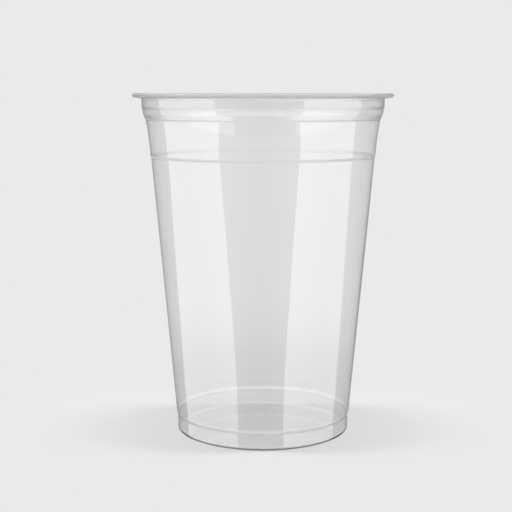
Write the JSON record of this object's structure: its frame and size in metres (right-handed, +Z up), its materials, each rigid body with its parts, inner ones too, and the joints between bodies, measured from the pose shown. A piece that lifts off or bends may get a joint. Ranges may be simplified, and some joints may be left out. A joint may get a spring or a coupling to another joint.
{
  "type": "plastic disposable cup",
  "caption": "Clear tapered disposable drinking cup in thin plastic, with a rolled lip, a stepped neck, a raised fill line and a recessed foot.",
  "frame": {"origin": "middle of the foot, on the surface that the cup stands on", "axes": "+Z up along the cup's axis towards the lip; X and Y lie level, and the cup is the same all round"},
  "size_m": [0.095, 0.095, 0.125],
  "materials": {
    "clear_plastic": "clear, smooth and glossy"
  },
  "bodies": {
    "root": {"cup": "clear_plastic"}
  },
  "joints": []
}
